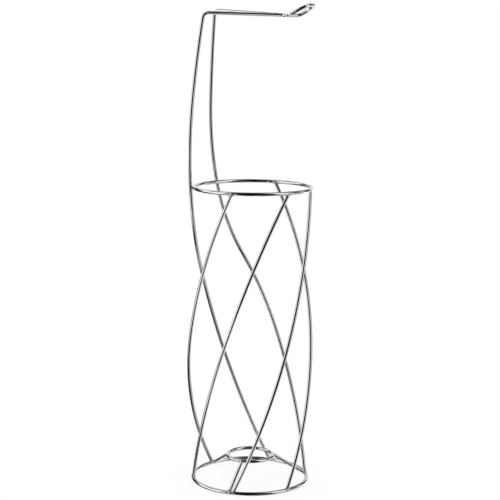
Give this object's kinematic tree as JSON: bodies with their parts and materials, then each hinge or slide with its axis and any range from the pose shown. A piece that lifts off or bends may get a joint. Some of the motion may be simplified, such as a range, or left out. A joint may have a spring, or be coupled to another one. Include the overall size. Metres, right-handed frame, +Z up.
{
  "type": "toilet roll stand",
  "caption": "Free-standing chromed wire stand for toilet rolls: a twisted open cage holds spares under a tall hanger whose arm ends in an upturned loop.",
  "frame": {"origin": "on the floor, at the centre of the base ring", "axes": "+Z up, +X the way the arm points, +Y to the left of the arm"},
  "size_m": [0.1602, 0.1639, 0.6196],
  "materials": {
    "chromed_wire": "polished"
  },
  "bodies": {
    "root": {"base_ring": "chromed_wire", "top_ring": "chromed_wire", "seat_ring": "chromed_wire", "cage_wire_1": "chromed_wire", "cage_wire_2": "chromed_wire", "cage_wire_3": "chromed_wire", "cage_wire_4": "chromed_wire", "hanger_wire": "chromed_wire", "spoke_1": "chromed_wire", "spoke_2": "chromed_wire", "spoke_3": "chromed_wire"}
  },
  "joints": []
}
